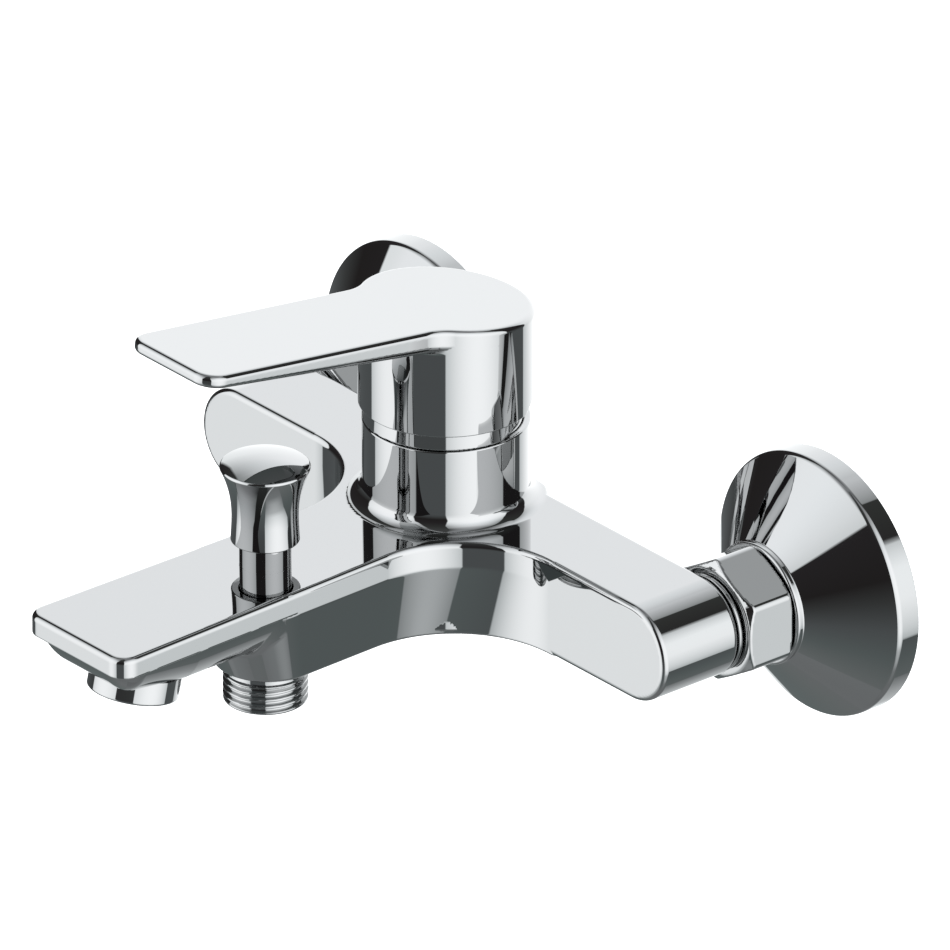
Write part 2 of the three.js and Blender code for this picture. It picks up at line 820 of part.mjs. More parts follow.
function unionGroup(name, side) {
  const holder = group(
    [side * INLET_X, 0, 0],
    mesh(`${name}_escutcheon`, escutcheon(), "chrome"),
    mesh(`${name}_eccentric_union`, eccentricUnion(), "chrome"),
    mesh(`${name}_union_nut`, unionNut(), "chrome"),
    mesh(`${name}_union_washer`, ring(7.5, 11.8, 28, 29.7, { facets: FINE }), "rubber"),
    mesh(`${name}_inlet_bush`, inletBush(), "chrome"),
  );
  holder.rotation.x = Math.PI / 2;
  return holder;
}

const faucet = new THREE.Group();
faucet.add(
  mesh("body_casting", bodyCasting(), "chrome"),
  cartridgeGroup(),
  handleGroup(),
  diverterGroup(),
  aeratorGroup(),
  unionGroup("left", -1),
  unionGroup("right", 1),
);

export default faucet;
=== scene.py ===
"""Looks of a wall mounted bath mixer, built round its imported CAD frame.

Shapes are worked out in millimetres, in the frame's axes: the wall is y = 0, the room is on its -Y
side and +Z is up. new_piece() turns them into metres.
"""

import json
import math

import bpy
import numpy as np
from mathutils import Matrix, Vector

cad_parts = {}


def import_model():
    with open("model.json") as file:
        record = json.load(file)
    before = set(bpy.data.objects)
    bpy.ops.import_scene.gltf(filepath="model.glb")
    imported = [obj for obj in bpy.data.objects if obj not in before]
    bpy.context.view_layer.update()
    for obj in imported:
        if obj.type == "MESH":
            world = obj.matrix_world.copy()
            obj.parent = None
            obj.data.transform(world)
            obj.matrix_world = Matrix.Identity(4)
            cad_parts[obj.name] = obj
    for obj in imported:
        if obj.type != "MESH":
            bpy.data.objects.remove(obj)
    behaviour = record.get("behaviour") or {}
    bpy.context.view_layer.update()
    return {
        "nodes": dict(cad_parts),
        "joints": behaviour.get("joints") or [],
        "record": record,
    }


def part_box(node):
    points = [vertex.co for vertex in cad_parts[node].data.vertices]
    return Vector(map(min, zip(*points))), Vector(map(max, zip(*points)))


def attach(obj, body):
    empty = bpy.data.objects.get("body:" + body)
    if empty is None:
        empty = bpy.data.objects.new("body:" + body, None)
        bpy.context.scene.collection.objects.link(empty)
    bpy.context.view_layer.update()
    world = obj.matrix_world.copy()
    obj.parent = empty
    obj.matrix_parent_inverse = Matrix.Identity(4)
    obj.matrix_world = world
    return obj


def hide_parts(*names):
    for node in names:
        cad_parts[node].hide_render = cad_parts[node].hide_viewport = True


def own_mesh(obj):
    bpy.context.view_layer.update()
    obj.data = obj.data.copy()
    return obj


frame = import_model()

RECORD = frame["record"]
BODY_OF = {n: b for b, nodes in RECORD["behaviour"]["bodies"].items() for n in nodes}
SLOT_OF = {part["node"]: part["material_slot"] for part in RECORD["subparts"]}
MM = 0.001
DEGREE = math.pi / 180


def box_mm(node):
    """Lowest and highest corner of a CAD node in millimetres."""
    low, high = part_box(node)
    return np.array(low) / MM, np.array(high) / MM


def middle(node):
    low, high = box_mm(node)
    return (low + high) / 2


# ---------------------------------------------------------------- places, from the frame
BODY_LOW, BODY_HIGH = box_mm("body_casting")
HANDLE_LOW, HANDLE_HIGH = box_mm("handle")
NUT_LOW, NUT_HIGH = box_mm("right_union_nut")
KNOB_BASE = box_mm("diverter_knob")[0][2]
OUTLET_END = box_mm("shower_outlet")[0][2]

PIVOT = np.array(frame["joints"][0]["pos_m"]) / MM
TOWER_Y = PIVOT[1]
DIVERTER_Y = middle("diverter_knob")[1]
INLET_X = middle("right_union_nut")[0]

# ---------------------------------------------------------------- shape of the casting
SOFT = 0.75  # radius of the polished edges
TOP_SOFT = 1.5  # the same along the upper edges
ARM_R = BODY_HIGH[0] - INLET_X
ARM_FRONT = -63.1
ARM_BACK = -39.1
TIP_Y = BODY_LOW[1]
ROOT_Y = -90.6  # the spout widens from here to its tip
ROOT_W, TIP_W = 16.8, 18.65
TAPER = (TIP_W - ROOT_W) / (ROOT_Y - TIP_Y)
TIP_CORNER_R = 5
PLAN_FILLET_R = 27.5
SPOUT_BACK = -45  # the spout's shapes end inside the arms, behind their front
SPOUT_END_GAP, SPOUT_END_FADE = 0.7, 3
TOP_FALL = 0.95 / 110  # the top falls towards the tip from FALL_Y on
FALL_Y = -66
BAND_Z = 6.4  # lower edge of the upright band
BAND_SOFT = 0.3
DRAFT = 0.205  # inward slope of the hull below the band
DRAFT_FADE = 19  # the slope grows from nothing over this distance ahead of the arms
HULL_Z = -14.1
NOSE_Y = -114.7
NOSE_RAKE = 0.24  # the hull's round nose leans forward by this slope
KEEL_Z = -4.4  # underside ahead of the shower outlet
KEEL_RISE = 0.14
KEEL_FLAT_Y = -150
BOAT_R = 9.5  # width of the rounded flank beside the keel
BOAT_LIP = 0.2
BOAT_MID_Z = 9.5
BOAT_CORNER_R = 9
BOAT_FULLNESS = 1.7  # 2 would be an ellipse, 1 a straight chamfer
NOSE_FILLET = 1.2
NOSE_FADE = 6  # the fillet grows from nothing over this distance below the band
TOWER_R = 20.6
TOWER_TOP = BODY_HIGH[2]
TOWER_SOFT = 0.4
TOWER_FILLET = 4.1
BULGE_R = 24.7  # foot of the tower, flattened at the back
OUTLET_BOSS_R, OUTLET_BOSS_Z, OUTLET_BOSS_TOP, OUTLET_BOSS_SOFT = 12, -14.2, 4, 0.4
AERATOR_Y, AERATOR_Z, AERATOR_TILT = -157.3, -8.77, 12.1 * DEGREE
AERATOR_R = 11.36

# ---------------------------------------------------------------- waterways of the casting
SEAT_R, SEAT_LOW = 17.6, 5  # the cartridge's seat
NUT_SEAT_R, NUT_SEAT_LOW = 18.9, 30  # its wider mouth, for the retaining nut
TOWER_MOUTH = 40  # cuts that open at the tower's top end above it
INLET_BORE_R, INLET_DEPTH = 9.2, 14
CHANNEL_R, CHANNEL_Z, CHANNEL_START = 5.5, -3, 7.5  # from each inlet to below its port
PORT_R, PORT_X, PORT_Y = 3.4, 7.5, 4  # hot and cold
MIXED_R, MIXED_Y = 4.4, -8.5
PORT_LOW, PORT_HIGH = -3, 6
FORWARD_R, FORWARD_START = 5.4, -5.5  # from the mixed port to the diverter
CHAMBER_R, CHAMBER_LOW, CHAMBER_HIGH = 8.6, -11, 5
OUTLET_SEAT_R, OUTLET_SEAT_LOW, OUTLET_SEAT_HIGH = 9.9, -20, -10
GUIDE_R, GUIDE_LOW, GUIDE_HIGH = 7.5, 4, 8.8
SLEEVE_HOLE_R, SLEEVE_HOLE_LOW, SLEEVE_HOLE_HIGH = 6.0, 8, 20  # tight round the sleeve
DUCT_W, DUCT_LOW, DUCT_HIGH = 8, 5.2, 8.6  # along the spout to its tip
DUCT_FRONT, DUCT_BACK = -158, 3
NOZZLE_GAP, NOZZLE_OUT, NOZZLE_STEP = 0.3, -20, 6.5  # round the aerator, along its axis
NOZZLE_R, NOZZLE_IN = 10.6, 12
RISER_R, RISER_IN = 6.5, 16.5
MOUTH_SOFT = 0.25

# ---------------------------------------------------------------- shape of the handle
HUB_R = HANDLE_HIGH[0]
HUB_LOW = HANDLE_LOW[2]
HUB_STEP_Z = 38.4  # the hub is as wide as the tower below this level
HUB_STEP_SOFT, HUB_END_SOFT = 0.35, 0.25
HUB_SKIRT_R = 20.5
HUB_FLARE = 0.05  # the skirt widens downwards
HUB_TOP = 65.5
TILT = 7.84 * DEGREE
RISE = math.tan(TILT)
WEDGE = math.tan(25.8 * DEGREE)  # slope of the cut at the back of the hub's lower end
WEDGE_START, WEDGE_SOFT = 0.6, 0.5
LEVER_W = 15.8
LEVER_REACH = 87.7
LEVER_CORNER_R = 5.8
LEVER_FILLET_R = 12.5
LEVER_TIP_T, LEVER_ROOT_T = 3.3, 7
LEVER_ROUND = 0.38  # radius of its lower edges, as a share of the thickness
ROOF_SOFT = 1.4  # radius of the edge round the flat top
HUB_FILLET = 0.8  # under the lever
HUB_FADE = 1.5  # the fillet ends at this height above the lever's underside
HUB_BORE_R, HUB_BORE_LOW = 19.2, 20
HUB_ROOF = 60
STEM_BOSS_R, STEM_BOSS_LOW, STEM_BOSS_TOP = 6.8, 47.6, 62
RIB_W, RIB_REACH, RIB_LOW = 4.5, 11, 50.3  # carries the grub screw
SOCKET_W, SOCKET_TOP = 4.3, 56.6  # for the lever stem
SCREW_Z = middle("grub_screw_cap")[2]
SCREW_R, SCREW_END = 2.5, 12
CAP_HOLE_R, CAP_HOLE_START, CAP_HOLE_END = 2.8, 18, 24
HOLE_SOFT = 0.2

# ---------------------------------------------------------------- shape of the union nuts
NUT_FLATS = 28.5 / 2
NUT_CORNER = NUT_FLATS / math.cos(math.pi / 6)
NUT_BACK, NUT_FRONT = -NUT_HIGH[1], -NUT_LOW[1]
NUT_FACE_R = 13.9  # flat ring inside the front chamfer
NUT_CHAMFER_FRONT, NUT_CHAMFER_BACK = 1.6, 1
NUT_EDGE_SOFT, NUT_CHAMFER_SOFT, NUT_FACE_SOFT = 0.9, 0.35, 0.3
NUT_BORE_R, NUT_NECK_R, NUT_SHOULDER = 12.3, 10.5, 33.3


# ---------------------------------------------------------------- signed distance pieces
def along(low, high, at):
    return np.maximum(low - at, at - high)


def meet(a, b, r=None):
    """Intersection of two signed distances with a round edge."""
    if r is None:
        return np.maximum(a, b)
    return np.minimum(-r, np.maximum(a, b)) + np.hypot(np.maximum(r + a, 0), np.maximum(r + b, 0))


def blend(a, b, r):
    """Union of two signed distances with a concave fillet."""
    return np.maximum(r, np.minimum(a, b)) - np.hypot(np.maximum(r - a, 0), np.maximum(r - b, 0))


def cut(a, b, r=0.3):
    return meet(a, -b, r)


def drum(across, upward, r, low, high, edge=None):
    """Cylinder from the two coordinates across its axis and the one along it."""
    return meet(np.hypot(*across) - r, along(low, high, upward), edge)


def spout_plan(x, y, corner):
    width = ROOT_W + TAPER * np.maximum(ROOT_Y - y, 0)
    strip = meet(np.abs(x) - width, TIP_Y - y, corner)
    return blend(strip, ARM_FRONT - y, PLAN_FILLET_R)


def eased(distance, width=0.8):
    """Zero below zero, then rising over the width to a slope of one."""
    start = np.clip(distance, 0, width)
    return start * start / (2 * width) + np.maximum(distance - width, 0)


def spout_top(y):
    return ARM_R - TOP_FALL * np.maximum(FALL_Y - y, 0)


def deep_hull(x, y, z):
    """Hull from the arms to the shower outlet: flat drafted sides that end in a round nose."""
    ahead = np.clip((ARM_FRONT - y) / DRAFT_FADE, 0, 1)
    fade = 1 - (1 - ahead) ** 2
    inset = DRAFT * eased(BAND_Z - z)
    nose_y = NOSE_Y - NOSE_RAKE * (z - HULL_Z)
    nose_w = ROOT_W + TAPER * (ROOT_Y - nose_y) - inset
    nose = np.hypot(x, y - nose_y) - nose_w
    sides = spout_plan(x, y, TIP_CORNER_R) + fade * inset
    floor = -ARM_R + (HULL_Z + ARM_R) * fade - z
    return meet(np.where(y < nose_y, nose, sides), floor, SOFT)


def shallow_hull(x, y, z):
    """Boat shaped underside between the shower outlet and the tip."""
    inside = spout_plan(x, y, BOAT_CORNER_R)
    keel = KEEL_Z + KEEL_RISE * np.maximum(KEEL_FLAT_Y - y, 0)
    depth = BOAT_MID_Z - keel
    flank = np.maximum(inside + BOAT_R + BOAT_LIP, 0) / BOAT_R
    drop = np.maximum(BOAT_MID_Z - z, 0) / depth
    p = BOAT_FULLNESS
    return ((flank**p + drop**p + 1e-9) ** (1 / p) - 1) * BOAT_R


def body_shell(x, y, z):
    stadium = np.hypot(np.maximum(np.abs(x) - INLET_X, 0), z) - ARM_R
    arms = meet(stadium, along(ARM_FRONT, ARM_BACK, y), TOP_SOFT)
    from_diverter = (x, y - DIVERTER_Y)
    boss = drum(from_diverter, z, OUTLET_BOSS_R, OUTLET_BOSS_Z, OUTLET_BOSS_TOP, OUTLET_BOSS_SOFT)
    plan = spout_plan(x, y, TIP_CORNER_R)
    fillet = NOSE_FILLET * np.clip((BAND_Z - z) / NOSE_FADE, 0, 1)
    hull = blend(np.minimum(deep_hull(x, y, z), boss), shallow_hull(x, y, z), fillet)
    band = meet(plan, BAND_Z - z, BAND_SOFT)
    spout = meet(np.minimum(band, hull), z - spout_top(y), TOP_SOFT)
    spout_end = np.abs(x) - PLAN_FILLET_R - ROOT_W - SPOUT_END_GAP
    spout = meet(spout, y - SPOUT_BACK) + eased(spout_end, SPOUT_END_FADE)
    foot = meet(np.hypot(x, y - TOWER_Y) - BULGE_R, y - BODY_HIGH[1], SOFT)
    foot = meet(foot, along(-ARM_R, ARM_R, z), SOFT)
    column = drum((x, y - TOWER_Y), z, TOWER_R, ARM_R - 1, TOWER_TOP, TOWER_SOFT)
    return blend(np.minimum(np.minimum(arms, spout), foot), column, TOWER_FILLET)


def tilted(y, z):
    """Coordinates across and along the aerator's axis."""
    c, s = math.cos(AERATOR_TILT), math.sin(AERATOR_TILT)
    dy, dz = y - AERATOR_Y, z - AERATOR_Z
    return dy * c - dz * s, dy * s + dz * c


def waterways(x, y, z):
    """Everything that is hollow in the casting, as one signed distance."""
    ax = np.abs(x)
    dy = y - TOWER_Y
    seat = np.minimum(
        drum((x, dy), z, SEAT_R, SEAT_LOW, TOWER_MOUTH),
        drum((x, dy), z, NUT_SEAT_R, NUT_SEAT_LOW, TOWER_MOUTH),
    )
    inlets = drum((ax - INLET_X, z), y, INLET_BORE_R, ARM_BACK - INLET_DEPTH, 0)
    across = (y - (ARM_FRONT + ARM_BACK) / 2, z - CHANNEL_Z)
    channels = drum(across, ax, CHANNEL_R, CHANNEL_START, INLET_X + 4)
    ports = drum((ax - PORT_X, dy - PORT_Y), z, PORT_R, PORT_LOW, PORT_HIGH)
    mixed = drum((x, dy - MIXED_Y), z, MIXED_R, PORT_LOW, PORT_HIGH)
    forward = drum((x, z - CHANNEL_Z), y, FORWARD_R, DIVERTER_Y, TOWER_Y + FORWARD_START)
    dd = y - DIVERTER_Y
    chamber = np.minimum(
        drum((x, dd), z, CHAMBER_R, CHAMBER_LOW, CHAMBER_HIGH),
        drum((x, dd), z, OUTLET_SEAT_R, OUTLET_SEAT_LOW, OUTLET_SEAT_HIGH),
    )
    upper = np.minimum(
        drum((x, dd), z, GUIDE_R, GUIDE_LOW, GUIDE_HIGH),
        drum((x, dd), z, SLEEVE_HOLE_R, SLEEVE_HOLE_LOW, SLEEVE_HOLE_HIGH),
    )
    duct = meet(ax - DUCT_W, along(DUCT_FRONT, DIVERTER_Y - DUCT_BACK, y))
    duct = meet(duct, along(DUCT_LOW, DUCT_HIGH, z))
    ty, tz = tilted(y, z)
    nozzle = np.minimum(
        drum((x, ty), tz, AERATOR_R + NOZZLE_GAP, NOZZLE_OUT, NOZZLE_STEP),
        drum((x, ty), tz, NOZZLE_R, NOZZLE_OUT, NOZZLE_IN),
    )
    riser = drum((x, ty), tz, RISER_R, 0, RISER_IN)
    ways = [seat, inlets, channels, ports, mixed, forward, chamber, upper, duct, nozzle, riser]
    return np.minimum.reduce(ways)


def body_casting(x, y, z):
    return cut(body_shell(x, y, z), waterways(x, y, z), MOUTH_SOFT)


def lever_plan(x, back, strip):
    """The hub's circle and the lever's strip, joined by arcs that touch both."""
    centre_x = LEVER_W + LEVER_FILLET_R
    reach = HUB_R + LEVER_FILLET_R
    centre_y = -math.sqrt(reach**2 - centre_x**2)
    plain = np.minimum(strip, np.hypot(x, back) - HUB_R)
    arc = LEVER_FILLET_R - np.hypot(np.abs(x) - centre_x, back - centre_y)
    between = (back > centre_y) & (np.abs(x) * -centre_y < -back * centre_x)
    return np.where(between & (plain > -LEVER_W / 2), arc, plain)


def handle(x, y, z):
    """Hub with its flat lever, about the tower axis."""
    back = y - TOWER_Y
    radius = np.hypot(x, back)
    roof = (z - HUB_TOP + back * RISE) / math.hypot(1, RISE)
    ahead = (-back - LEVER_REACH) * math.cos(TILT) + (z - HUB_TOP - LEVER_REACH * RISE) * math.sin(TILT)
    strip = meet(np.abs(x) - LEVER_W, ahead, LEVER_CORNER_R)
    plan = lever_plan(x, back, strip)
    thick = LEVER_TIP_T + (LEVER_ROOT_T - LEVER_TIP_T) * (1 + back / LEVER_REACH)
    blade = meet(meet(plan, -roof - thick, LEVER_ROUND * thick), back)
    hub = meet(radius - HUB_R, HUB_STEP_Z - z, HUB_STEP_SOFT)
    skirt = radius - HUB_SKIRT_R - HUB_FLARE * (HUB_STEP_Z - z)
    hub = np.minimum(hub, meet(meet(skirt, HUB_LOW - z, HUB_END_SOFT), z - HUB_STEP_Z - 2))
    wedge = ((HUB_LOW - z) + (back - WEDGE_START) * WEDGE) / math.hypot(1, WEDGE)
    hub = meet(hub, wedge, WEDGE_SOFT)
    fillet = HUB_FILLET * np.clip(1 - (roof + thick) / HUB_FADE, 0, 1)
    outside = blend(meet(blade, roof, ROOF_SOFT), meet(hub, roof, ROOF_SOFT), fillet)
    hollow = drum((x, back), z, HUB_BORE_R, HUB_BORE_LOW, HUB_ROOF)
    rib = meet(np.abs(x) - RIB_W, along(0, RIB_REACH, back))
    boss = np.minimum(
        drum((x, back), z, STEM_BOSS_R, STEM_BOSS_LOW, STEM_BOSS_TOP),
        meet(rib, along(RIB_LOW, STEM_BOSS_TOP, z)),
    )
    socket = np.maximum(np.maximum(np.abs(x), np.abs(back)) - SOCKET_W, z - SOCKET_TOP)
    from_screw = (x, SCREW_Z - z)
    screw_way = np.minimum(
        drum(from_screw, back, SCREW_R, 0, SCREW_END),
        drum(from_screw, back, CAP_HOLE_R, CAP_HOLE_START, CAP_HOLE_END),
    )
    shell = np.minimum(cut(outside, hollow), boss)
    return cut(cut(shell, socket, HOLE_SOFT), screw_way, HOLE_SOFT)


def slanted(radius, out, start, end):
    """Distance outside the cone through two [radius, out] points, on their right-hand side."""
    dr, do = end[0] - start[0], end[1] - start[1]
    return ((radius - start[0]) * do - (out - start[1]) * dr) / math.hypot(dr, do)


def union_nut(x, y, z):
    """Hexagon nut about its own axis, with both faces chamfered."""
    out = -y
    radius = np.hypot(x, z)
    flats = [abs(x * math.cos(a) + z * math.sin(a)) - NUT_FLATS for a in (0, math.pi / 3, -math.pi / 3)]
    hexagon = meet(meet(flats[0], flats[1], NUT_EDGE_SOFT), flats[2], NUT_EDGE_SOFT)
    front = slanted(radius, out, (NUT_CORNER, NUT_FRONT - NUT_CHAMFER_FRONT), (NUT_FACE_R, NUT_FRONT))
    back = slanted(radius, out, (NUT_FLATS, NUT_BACK), (NUT_CORNER, NUT_BACK + NUT_CHAMFER_BACK))
    solid = meet(meet(hexagon, front, NUT_CHAMFER_SOFT), back, NUT_CHAMFER_SOFT)
    solid = meet(solid, along(NUT_BACK, NUT_FRONT, out), NUT_FACE_SOFT)
    bore = np.minimum(
        meet(radius - NUT_BORE_R, out - NUT_SHOULDER),
        meet(radius - NUT_NECK_R, out - NUT_FRONT - 1),
    )
    return cut(solid, bore)


# ---------------------------------------------------------------- from distance to mesh
BLOCK = 8  # cells along each side of a block, which is skipped when the surface is far from it
STEEPEST = 2  # bound on the slope of any of the distances
CORNERS = np.array([[i, j, k] for i in (0, 1) for j in (0, 1) for k in (0, 1)])
EDGES = [(a, b) for a in range(8) for b in range(a + 1, 8) if abs(CORNERS[a] - CORNERS[b]).sum() == 1]


def levels(low, high, step, zones=()):
    """Grid lines from low to high, closer together inside each (start, end, step) zone."""
    lines = [low]
    while lines[-1] < high or (len(lines) - 1) % BLOCK:
        here = [fine for start, end, fine in zones if start <= lines[-1] < end]
        lines.append(lines[-1] + min([step, *here]))
    return np.array(lines)


def crossed_cells(distance, grid):
    """Cells that the surface passes through, with the distance at their eight corners."""
    counts = [np.arange((len(g) - 1) // BLOCK) for g in grid]
    blocks = np.stack(np.meshgrid(*counts, indexing="ij"), -1).reshape(-1, 3)
    low = np.stack([g[BLOCK * blocks[:, k]] for k, g in enumerate(grid)], -1)
    high = np.stack([g[BLOCK * blocks[:, k] + BLOCK] for k, g in enumerate(grid)], -1)
    reach = np.linalg.norm(high - low, axis=1) / 2
    blocks = blocks[np.abs(distance(*((low + high) / 2).T)) < STEEPEST * reach]
    cells, values = [], []
    for part in np.array_split(blocks, max(1, len(blocks) // 1000)):
        lines = [g[BLOCK * part[:, [k]] + np.arange(BLOCK + 1)] for k, g in enumerate(grid)]
        x, y, z = lines[0][:, :, None, None], lines[1][:, None, :, None], lines[2][:, None, None, :]
        field = distance(x, y, z)
        corner = np.stack(
            [field[:, i : i + BLOCK, j : j + BLOCK, k : k + BLOCK] for i, j, k in CORNERS], -1
        )
        inside = (corner < 0).sum(-1)
        found = np.argwhere((inside > 0) & (inside < 8))
        cells.append(BLOCK * part[found[:, 0]] + found[:, 1:])
        values.append(corner[tuple(found.T)])
    return np.concatenate(cells), np.concatenate(values)


def slope(distance, points, h=0.01):
    """Gradient of the distance at each point."""
    x, y, z = points.T
    return np.stack(
        [
            distance(x + h, y, z) - distance(x - h, y, z),
            distance(x, y + h, z) - distance(x, y - h, z),
            distance(x, y, z + h) - distance(x, y, z - h),
        ],
        -1,
    ) / (2 * h)


def skin(distance, grid):
    """Points, quads and normals of the surface where the distance is zero."""
    cells, values = crossed_cells(distance, grid)
    total, count = np.zeros((len(cells), 3)), np.zeros((len(cells), 1))
    for a, b in EDGES:
        hit = (values[:, a] < 0) != (values[:, b] < 0)
        t = values[hit, a] / (values[hit, a] - values[hit, b])
        total[hit] += CORNERS[a] + t[:, None] * (CORNERS[b] - CORNERS[a])
        count[hit] += 1
    share = total / count
    low = np.stack([g[cells[:, k]] for k, g in enumerate(grid)], -1)
    high = np.stack([g[cells[:, k] + 1] for k, g in enumerate(grid)], -1)
    points = low + share * (high - low)
    limit = (high - low).min(1) / 2
    for _ in range(4):
        gradient = slope(distance, points)
        size = np.maximum((gradient**2).sum(1), 0.2)
        move = np.clip(distance(*points.T) / size, -limit, limit)
        points = points - move[:, None] * gradient
    normals = slope(distance, points)
    normals /= np.maximum(np.linalg.norm(normals, axis=1), 1e-6)[:, None]

    width = [len(g) for g in grid]
    key = (cells[:, 0] * width[1] + cells[:, 1]) * width[2] + cells[:, 2]
    order = np.argsort(key)
    strides = np.array([width[1] * width[2], width[2], 1])
    quads = []
    for k in range(3):
        first, ahead = values[:, 0] < 0, values[:, [4, 2, 1][k]] < 0
        side_a, side_b = strides[(k + 1) % 3], strides[(k + 2) % 3]
        for outward in (True, False):
            base = key[(first != ahead) & (first == outward)]
            ring = np.stack([base, base - side_a, base - side_a - side_b, base - side_b], -1)
            quads.append(ring if outward else ring[:, ::-1])
    quads = order[np.searchsorted(key[order], np.concatenate(quads))]
    return points, quads.tolist(), normals


# ---------------------------------------------------------------- turned pieces
ARC_STEP = 12 * DEGREE
SMOOTH = 1000  # edge radius that rounds a corner up to the middles of its two sides


def softened(profile, closed):
    """Points and normals along a [radius, height, edge radius] outline with its corners rounded."""
    path = np.array([p[:2] for p in profile], float)
    radii = [p[2] if len(p) > 2 else 0.3 for p in profile]
    points, normals = [], []
    for i, corner in enumerate(path):
        if not closed and i in (0, len(path) - 1):
            other = path[1] - corner if i == 0 else corner - path[-2]
            points.append(corner)
            normals.append(np.array([other[1], -other[0]]) / np.hypot(*other))
            continue
        before, after = corner - path[i - 1], path[(i + 1) % len(path)] - corner
        length = min(np.hypot(*before), np.hypot(*after))
        before, after = before / np.hypot(*before), after / np.hypot(*after)
        cross = before[0] * after[1] - before[1] * after[0]
        turn = math.atan2(cross, before @ after)
        reach = min(radii[i] * abs(math.tan(turn / 2)), 0.49 * length)
        radius = reach / max(abs(math.tan(turn / 2)), 1e-9)
        normal = np.array([before[1], -before[0]])
        side = math.copysign(radius, turn)
        centre = corner - before * reach - normal * side
        steps = max(1, math.ceil(abs(turn) / ARC_STEP))
        for step in range(steps + 1):
            c, s = math.cos(turn * step / steps), math.sin(turn * step / steps)
            turned = np.array([normal[0] * c - normal[1] * s, normal[0] * s + normal[1] * c])
            points.append(centre + turned * side)
            normals.append(turned)
    return np.array(points), np.array(normals)


def turned(profile, closed=True, around=128, thread=None):
    """Points, faces and normals of an outline turned round the Z axis. thread(angle, height, radius)
    gives the radius of a threaded stretch."""
    outline, slopes = softened(profile, closed)
    if thread:
        outline, slopes = refined(outline, slopes)
    angle = np.linspace(0, 2 * math.pi, around, endpoint=False)
    radius = np.repeat(outline[:, :1], around, 1)
    outward, aside, upward = np.repeat(slopes[:, :1], around, 1), 0, np.repeat(slopes[:, 1:], around, 1)
    if thread:
        radius = thread(angle[None, :], outline[:, 1:], radius)
        wall = slopes[:, :1] > 0.999
        rise = np.gradient(outline[:, 1])[:, None]
        lean = np.gradient(radius, axis=0) / np.where(wall, rise, 1)
        twist = (np.roll(radius, -1, 1) - np.roll(radius, 1, 1)) * around / (4 * math.pi * radius)
        upward = np.where(wall, -lean, upward)
        aside = np.where(wall, -twist, 0)
    c, s = np.cos(angle), np.sin(angle)
    points = np.stack([radius * c, radius * s, np.repeat(outline[:, 1:], around, 1)], -1)
    normals = np.stack([outward * c - aside * s, outward * s + aside * c, upward], -1)
    normals /= np.linalg.norm(normals, axis=-1, keepdims=True)
    rows = len(outline) if closed else len(outline) - 1
    i, j = np.meshgrid(np.arange(rows), np.arange(around), indexing="ij")
    up, next_j = (i + 1) % len(outline), (j + 1) % around
    quads = np.stack([i * around + j, i * around + next_j, up * around + next_j, up * around + j], -1)
    points, quads, normals = points.reshape(-1, 3), quads.reshape(-1, 4), normals.reshape(-1, 3)
    if closed:
        return points, quads.tolist(), normals
    return closed_poles(points, quads, normals, around)


def closed_poles(points, quads, normals, around):
    """Merges the first and the last ring, which lie on the axis, into one point each."""
    shared = np.arange(len(points))
    shared[:around] = 0
    shared[-around:] = len(points) - around
    kept, place = np.unique(shared, return_inverse=True)
    faces = [list(dict.fromkeys(face)) for face in place[quads].tolist()]
    return points[kept], faces, normals[kept]


def refined(outline, slopes, step=0.12):
    """The same outline with points no further apart than step."""
    points, normals = [outline[0]], [slopes[0]]
    for a, b, na, nb in zip(outline[:-1], outline[1:], slopes[:-1], slopes[1:]):
        parts = max(1, math.ceil(np.hypot(*(b - a)) / step))
        for k in range(1, parts + 1):
            points.append(a + (b - a) * k / parts)
            normals.append(na + (nb - na) * k / parts)
    return np.array(points), np.array(normals)


THREAD_PITCH, THREAD_DEPTH = 1.814, 0.9  # G1/2
THREAD_ROOT, THREAD_CREST = 0.18, 0.82  # the wave is cut off flat beyond these levels
THREAD_RUN_OUT = 0.8


def pipe_thread(low, high, crest):
    """Radius function of a helical thread that runs out at both ends."""

    def radius_at(angle, height, radius):
        phase = (height / THREAD_PITCH - angle / (2 * math.pi)) % 1
        wave = 0.5 + 0.5 * np.cos(2 * math.pi * phase)
        wave = np.clip((wave - THREAD_ROOT) / (THREAD_CREST - THREAD_ROOT), 0, 1)
        run = np.clip(np.minimum(height - low, high - height) / THREAD_RUN_OUT, 0, 1)
        cut_to = crest - THREAD_DEPTH * (1 - wave) * run
        threaded = (height > low) & (height < high) & (radius > crest - 0.05)
        return np.where(threaded, np.minimum(radius, cut_to), radius)

    return radius_at


# ---------------------------------------------------------------- pieces
def new_piece(name, points, faces, normals=None, matrix=None):
    """Mesh object in metres from points in millimetres."""
    if matrix is not None:
        turn = np.array(matrix)
        points = points @ turn[:3, :3].T + turn[:3, 3]
        normals = normals if normals is None else normals @ turn[:3, :3].T
    mesh = bpy.data.meshes.new(name)
    mesh.from_pydata((points * MM).tolist(), [], faces)
    mesh.shade_smooth()
    if normals is not None:
        mesh.normals_split_custom_set_from_vertices(normals.tolist())
    piece = bpy.data.objects.new(name, mesh)
    bpy.context.scene.collection.objects.link(piece)
    return piece


def stands_for(piece, node):
    """The piece takes the body and the finish of a CAD node, whose own mesh is hidden."""
    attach(piece, BODY_OF[node])
    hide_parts(node)
    piece.data.materials.append(FINISH[SLOT_OF[node]])


def turned_piece(node, profile, place, closed=True, thread=None, around=128):
    points, faces, normals = turned(profile, closed, around, thread)
    piece = new_piece("fine_" + node, points, faces, normals, place)
    stands_for(piece, node)


def upright(y, z=0.0):
    return Matrix.Translation((0, y, z))


def from_wall(side):
    """Local z is the distance from the wall, about the left or right inlet axis."""
    return Matrix.Translation((side * INLET_X, 0, 0)) @ Matrix.Rotation(math.pi / 2, 4, "X")


BODY_STEP, HANDLE_STEP, NUT_STEP = ((0.6, 0.55, 0.45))
GRID_MARGIN = 1.5


